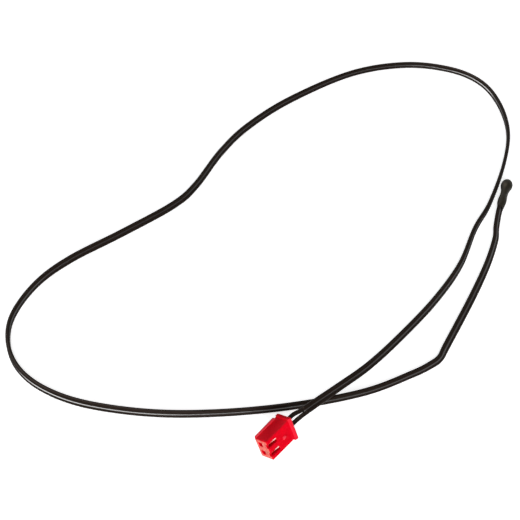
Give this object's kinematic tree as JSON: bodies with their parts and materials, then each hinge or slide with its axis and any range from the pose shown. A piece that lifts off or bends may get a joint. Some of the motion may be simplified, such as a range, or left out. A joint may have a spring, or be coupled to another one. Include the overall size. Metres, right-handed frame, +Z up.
{
  "type": "air temperature sensor",
  "caption": "Air temperature sensor: an epoxy-dipped bead on a flat twin cord with a two-way crimp plug, lying with its cord in one loop.",
  "frame": {"origin": "on the surface that the sensor lies on, below the middle of the sensing head's length", "axes": "+Z up; +Y along the sensing head, from the cord towards the bead's tip; +X to the right of that, seen from above"},
  "size_m": [0.1146, 0.1666, 0.0077],
  "materials": {
    "epoxy": "dipped black epoxy, satin to glossy",
    "ceramic": "sintered ceramic, matt",
    "solder": "solder, bright",
    "tinned_wire": "tinned, bright",
    "copper": "bare stranded copper",
    "cord_pvc": "black flexible PVC, satin",
    "plug_red": "moulded red nylon, satin",
    "contact_tin": "tin-plated sheet"
  },
  "bodies": {
    "root": {"epoxy_head": "epoxy", "thermistor_chip": "ceramic", "chip_solder_a": "solder", "chip_solder_b": "solder", "lead_a": "tinned_wire", "lead_b": "tinned_wire", "splice_solder_a": "solder", "splice_solder_b": "solder", "head_conductor_a": "copper", "head_conductor_b": "copper", "twin_cable": "cord_pvc", "core_tail_a": "cord_pvc", "core_tail_b": "cord_pvc", "plug_housing": "plug_red", "terminal_a": "contact_tin", "terminal_b": "contact_tin", "plug_conductor_a": "copper", "plug_conductor_b": "copper"}
  },
  "joints": []
}
